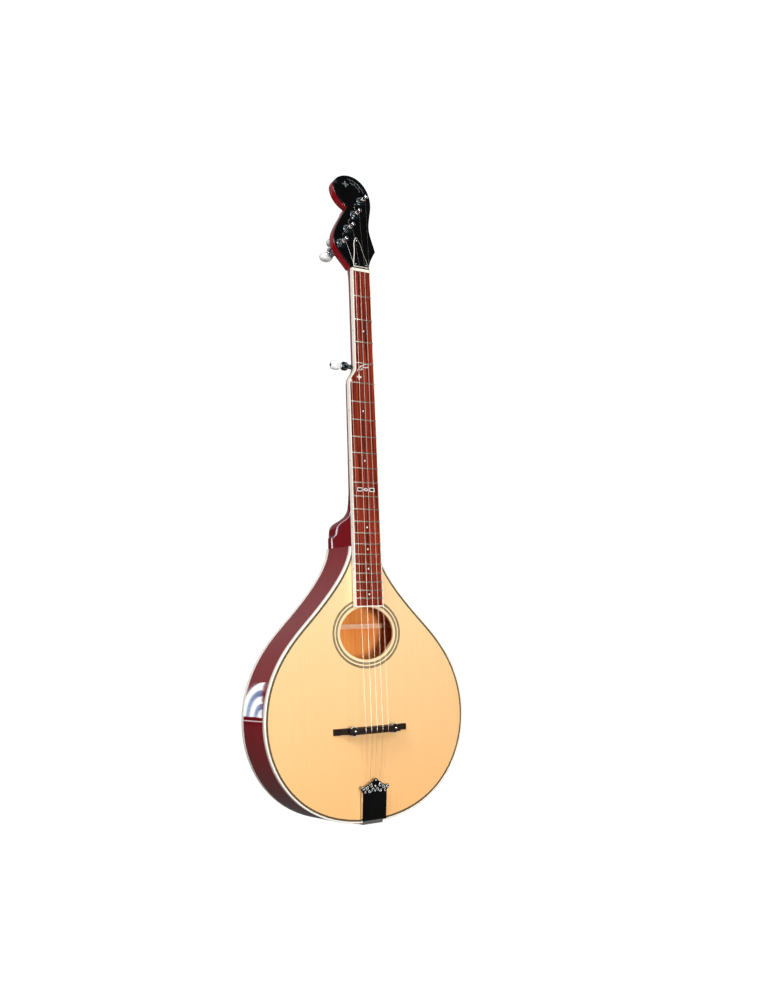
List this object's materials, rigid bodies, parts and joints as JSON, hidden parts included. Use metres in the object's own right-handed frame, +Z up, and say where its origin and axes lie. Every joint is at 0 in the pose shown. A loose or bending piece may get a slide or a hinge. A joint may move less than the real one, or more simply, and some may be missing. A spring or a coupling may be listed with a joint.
{
  "type": "bouzouki",
  "caption": "Teardrop-bodied, long-necked string instrument with an oval sound hole, one-sided scroll headstock, geared tuners, a short drone string and a height-adjustable floating bridge.",
  "frame": {"origin": "on the centre line, in the plane of the soundboard, at the height where a wall hanger's yoke meets the headstock, just above the nut", "axes": "+Z up the neck towards the headstock, +Y out of the back of the body, +X to the treble side"},
  "size_m": [0.344, 0.0946, 0.9607],
  "materials": {
    "spruce_top": "straight-grained spruce under clear gloss lacquer",
    "inner_wood": "bare, sanded wood",
    "cherry_lacquer": "cherry-red gloss lacquer",
    "fretboard_wood": "oiled, open-grained rosewood",
    "ebony": "satin black",
    "cream_binding": "polished cream",
    "dark_purfling": "dark and light strips under lacquer",
    "black_lacquer": "high-gloss black",
    "chrome": "polished plating",
    "steel": "plain",
    "pearl": "white pearloid",
    "bone": "polished bone colour"
  },
  "bodies": {
    "instrument": {"top_plate": "spruce_top", "back_plate": "cherry_lacquer", "rim_bass": "cherry_lacquer", "rim_treble": "cherry_lacquer", "top_binding": "cream_binding", "back_binding": "cream_binding", "top_purfling": "dark_purfling", "rosette": "dark_purfling", "neck_block": "inner_wood", "tail_block": "inner_wood", "top_lining": "inner_wood", "back_lining": "inner_wood", "top_x_brace": "inner_wood", "top_upper_brace": "inner_wood", "back_brace_upper": "inner_wood", "back_brace_lower": "inner_wood", "bridge_plate": "inner_wood", "neck": "cherry_lacquer", "fretboard": "fretboard_wood", "fretboard_binding": "cream_binding", "nut": "bone", "fifth_string_nut": "bone", "octave_marker": "pearl", "fifth_fret_inlay": "pearl", "headstock_overlay": "black_lacquer", "headstock_inlay": "pearl", "truss_rod": "steel", "truss_rod_cover": "black_lacquer", "tuner_housing_1": "chrome", "tuner_housing_2": "chrome", "tuner_housing_3": "chrome", "tuner_housing_4": "chrome", "fifth_peg_housing": "chrome", "bridge_base": "ebony", "bridge_post_bass": "steel", "bridge_post_treble": "steel", "tailpiece_base": "chrome", "tailpiece_screw_bass": "steel", "tailpiece_screw_treble": "steel", "string_1": "steel", "string_2": "steel", "string_3": "steel", "string_4": "steel", "string_5": "steel"},
    "tuner_button_1": {"tuner_button_1": "pearl"},
    "tuner_button_2": {"tuner_button_2": "pearl"},
    "tuner_button_3": {"tuner_button_3": "pearl"},
    "tuner_button_4": {"tuner_button_4": "pearl"},
    "tuner_post_1": {"tuner_post_1": "chrome"},
    "tuner_post_2": {"tuner_post_2": "chrome"},
    "tuner_post_3": {"tuner_post_3": "chrome"},
    "tuner_post_4": {"tuner_post_4": "chrome"},
    "fifth_peg_button": {"fifth_peg_button": "pearl"},
    "fifth_peg_post": {"fifth_peg_post": "chrome"},
    "truss_rod_nut": {"truss_rod_nut": "steel"},
    "bridge_saddle": {"bridge_saddle": "ebony"},
    "thumbwheel_bass": {"thumbwheel_bass": "chrome"},
    "thumbwheel_treble": {"thumbwheel_treble": "chrome"},
    "tailpiece_cover": {"tailpiece_cover": "chrome", "tailpiece_cover_plate": "black_lacquer"}
  },
  "joints": [
    {"name": "tuner_button_1_turn", "type": "hinge", "parent": "instrument", "child": "tuner_button_1", "pos_m": [-0.021, 0.00761, 0.02436], "axis": [0, -0.9703, 0.2419], "continuous": true},
    {"name": "tuner_button_2_turn", "type": "hinge", "parent": "instrument", "child": "tuner_button_2", "pos_m": [-0.0038, 0.01412, 0.05046], "axis": [0, -0.9703, 0.2419], "continuous": true},
    {"name": "tuner_button_3_turn", "type": "hinge", "parent": "instrument", "child": "tuner_button_3", "pos_m": [0.0134, 0.02063, 0.07656], "axis": [0, -0.9703, 0.2419], "continuous": true},
    {"name": "tuner_button_4_turn", "type": "hinge", "parent": "instrument", "child": "tuner_button_4", "pos_m": [0.0306, 0.02714, 0.10266], "axis": [0, -0.9703, 0.2419], "continuous": true},
    {"name": "tuner_post_1_turn", "type": "hinge", "parent": "instrument", "child": "tuner_post_1", "pos_m": [-0.021, 0.00761, 0.02436], "axis": [0, -0.9703, 0.2419], "continuous": true},
    {"name": "tuner_post_2_turn", "type": "hinge", "parent": "instrument", "child": "tuner_post_2", "pos_m": [-0.0038, 0.01412, 0.05046], "axis": [0, -0.9703, 0.2419], "continuous": true},
    {"name": "tuner_post_3_turn", "type": "hinge", "parent": "instrument", "child": "tuner_post_3", "pos_m": [0.0134, 0.02063, 0.07656], "axis": [0, -0.9703, 0.2419], "continuous": true},
    {"name": "tuner_post_4_turn", "type": "hinge", "parent": "instrument", "child": "tuner_post_4", "pos_m": [0.0306, 0.02714, 0.10266], "axis": [0, -0.9703, 0.2419], "continuous": true},
    {"name": "fifth_peg_button_turn", "type": "hinge", "parent": "instrument", "child": "fifth_peg_button", "pos_m": [0, 0.0026, -0.161], "axis": [-1, 0, 0], "continuous": true},
    {"name": "fifth_peg_post_turn", "type": "hinge", "parent": "instrument", "child": "fifth_peg_post", "pos_m": [0, 0.0026, -0.161], "axis": [-1, 0, 0], "continuous": true},
    {"name": "truss_rod_nut_turn", "type": "hinge", "parent": "instrument", "child": "truss_rod_nut", "pos_m": [0.0075, 0.00643, -0.0181], "axis": [0, 0.0092, 1], "range_deg": [-360, 360]},
    {"name": "saddle_lift", "type": "slide", "parent": "instrument", "child": "bridge_saddle", "axis": [0, -1, 0], "range_m": [-0.0014, 0.0014], "deforming": ["string_1", "string_2", "string_3", "string_4", "string_5"]},
    {"name": "thumbwheel_bass_turn", "type": "hinge", "parent": "bridge_saddle", "child": "thumbwheel_bass", "pos_m": [-0.035, 0, -0.6833], "axis": [0, -1, 0], "range_deg": [-720, 720]},
    {"name": "thumbwheel_treble_turn", "type": "hinge", "parent": "bridge_saddle", "child": "thumbwheel_treble", "pos_m": [0.035, 0, -0.6833], "axis": [0, -1, 0], "range_deg": [-720, 720]},
    {"name": "tailpiece_cover_pull", "type": "slide", "parent": "instrument", "child": "tailpiece_cover", "axis": [0, -1, 0], "range_m": [0, 0.02]}
  ],
  "couplings": [
    {"joint": "tuner_post_1_turn", "follows": "tuner_button_1_turn", "ratio": 0.25},
    {"joint": "tuner_post_2_turn", "follows": "tuner_button_2_turn", "ratio": 0.25},
    {"joint": "tuner_post_3_turn", "follows": "tuner_button_3_turn", "ratio": 0.25},
    {"joint": "tuner_post_4_turn", "follows": "tuner_button_4_turn", "ratio": 0.25},
    {"joint": "fifth_peg_post_turn", "follows": "fifth_peg_button_turn", "ratio": 0.25},
    {"joint": "thumbwheel_bass_turn", "follows": "saddle_lift", "rad_per_m": 8976},
    {"joint": "thumbwheel_treble_turn", "follows": "saddle_lift", "rad_per_m": 8976}
  ]
}
